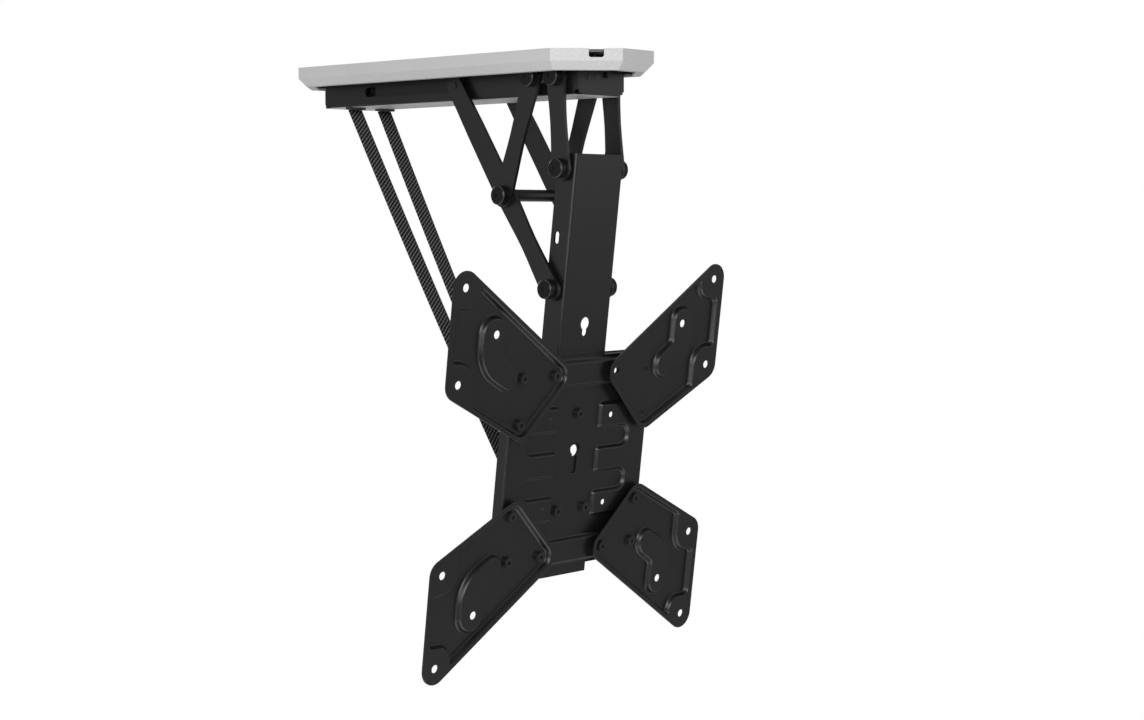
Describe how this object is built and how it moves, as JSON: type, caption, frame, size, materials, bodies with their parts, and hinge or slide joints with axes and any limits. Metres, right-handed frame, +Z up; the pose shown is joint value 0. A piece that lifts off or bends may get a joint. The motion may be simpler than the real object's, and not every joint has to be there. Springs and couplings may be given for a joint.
{
  "type": "motorised ceiling screen lift",
  "caption": "Motorised flip-down ceiling lift: a screw-driven carriage in a covered beam folds paired arms that swing a mast with a screen plate and pressed screen arms.",
  "frame": {"origin": "centre of the four ceiling bolts, on the plate's upper face where it meets the ceiling", "axes": "+Z up to the ceiling, +Y to the back along the beam, +X to the right seen from the front; drawn lowered, with the screen plate facing -Y"},
  "size_m": [0.435, 0.516, 0.6618],
  "materials": {
    "cover_white": "satin powder coat",
    "frame_black": "fine textured powder coat",
    "zinc_steel": "zinc plated",
    "dark_steel": "black oxide",
    "screw_steel": "bright turned",
    "drive_grey": "semi-matt",
    "black_plastic": "fine grain",
    "lens_dark": "polished",
    "light_cover": "polished",
    "board_green": "solder mask",
    "sensor_blue": "moulded",
    "bronze": "turned",
    "nylon_white": "moulded",
    "braid_black": "braided with grey threads"
  },
  "bodies": {
    "ceiling_unit": {"ceiling_plate": "frame_black", "housing_cover": "cover_white", "cover_clips": "zinc_steel", "channel_beam": "frame_black", "beam_bolts": "zinc_steel", "front_end_plate": "frame_black", "rear_end_cap": "frame_black", "receiver_lens": "lens_dark", "status_light": "light_cover", "service_socket": "black_plastic", "receiver_board": "board_green", "drive_motor": "drive_grey", "gearbox": "zinc_steel", "motor_bracket": "zinc_steel", "front_bearing_block": "zinc_steel", "rear_bearing_block": "zinc_steel", "screw_bearings": "screw_steel", "guide_rail": "drive_grey", "rail_bolts": "zinc_steel", "control_board": "board_green", "limit_sensors": "sensor_blue", "power_inlet": "black_plastic", "crank_pivot_pins": "dark_steel", "rocker_pivot_pins": "dark_steel", "pivot_spacers": "zinc_steel", "sleeve_grommets": "black_plastic", "sleeve_left": "braid_black", "sleeve_right": "braid_black"},
    "drive_screw": {"lead_screw": "screw_steel", "shaft_coupler": "screw_steel", "gearbox_shaft": "screw_steel"},
    "carriage": {"carriage_bridge": "zinc_steel", "drive_nut": "bronze", "slide_pins": "screw_steel", "slide_shoes": "nylon_white"},
    "crank_arms": {"crank_arm_left": "frame_black", "crank_arm_right": "frame_black"},
    "lift_arms": {"lift_arm_left": "frame_black", "lift_arm_right": "frame_black", "cross_tube": "frame_black", "centre_pivot_pins": "dark_steel", "slide_rivets": "dark_steel"},
    "rocker_arms": {"rocker_arm_left": "frame_black", "rocker_arm_right": "frame_black", "mast_pivot_caps": "dark_steel"},
    "mast": {"mast_channel": "frame_black", "hanger_pins": "dark_steel", "hanger_spacers": "zinc_steel", "rocker_anchor_nuts": "dark_steel", "centre_plate": "frame_black", "plate_screws": "dark_steel", "vesa_arm_upper_left": "frame_black", "vesa_arm_upper_right": "frame_black", "vesa_arm_lower_left": "frame_black", "vesa_arm_lower_right": "frame_black", "arm_screws": "dark_steel", "weld_nuts": "zinc_steel", "sleeve_clamp": "frame_black", "clamp_screws": "zinc_steel"}
  },
  "joints": [
    {"name": "crank_fold", "type": "hinge", "parent": "ceiling_unit", "child": "crank_arms", "pos_m": [0, -0.1485, -0.026], "axis": [1, 0, 0], "range_deg": [0, 59.49], "deforming": ["sleeve_left", "sleeve_right"]},
    {"name": "lift_fold", "type": "hinge", "parent": "crank_arms", "child": "lift_arms", "pos_m": [0, -0.10524, -0.1523], "axis": [1, 0, 0], "range_deg": [-107.5, 0.1]},
    {"name": "mast_fold", "type": "hinge", "parent": "lift_arms", "child": "mast", "pos_m": [0, -0.17106, -0.25324], "axis": [1, 0, 0], "range_deg": [-0.1, 131]},
    {"name": "rocker_fold", "type": "hinge", "parent": "ceiling_unit", "child": "rocker_arms", "pos_m": [0, -0.1795, -0.026], "axis": [1, 0, 0], "range_deg": [-58.1, 0.1]},
    {"name": "carriage_slide", "type": "slide", "parent": "ceiling_unit", "child": "carriage", "axis": [0, 1, 0], "range_m": [-0.0001, 0.1521]},
    {"name": "screw_spin", "type": "hinge", "parent": "ceiling_unit", "child": "drive_screw", "pos_m": [0, 0, -0.026], "axis": [0, 1, 0], "range_deg": [-1, 6840]}
  ],
  "couplings": [
    {"joint": "lift_fold", "follows": "crank_fold", "ratio": -1.805},
    {"joint": "mast_fold", "follows": "crank_fold", "ratio": 2.1996},
    {"joint": "rocker_fold", "follows": "crank_fold", "ratio": -0.97469},
    {"joint": "carriage_slide", "follows": "crank_fold", "m_per_rad": 0.14637},
    {"joint": "screw_spin", "follows": "crank_fold", "ratio": 114.96}
  ]
}
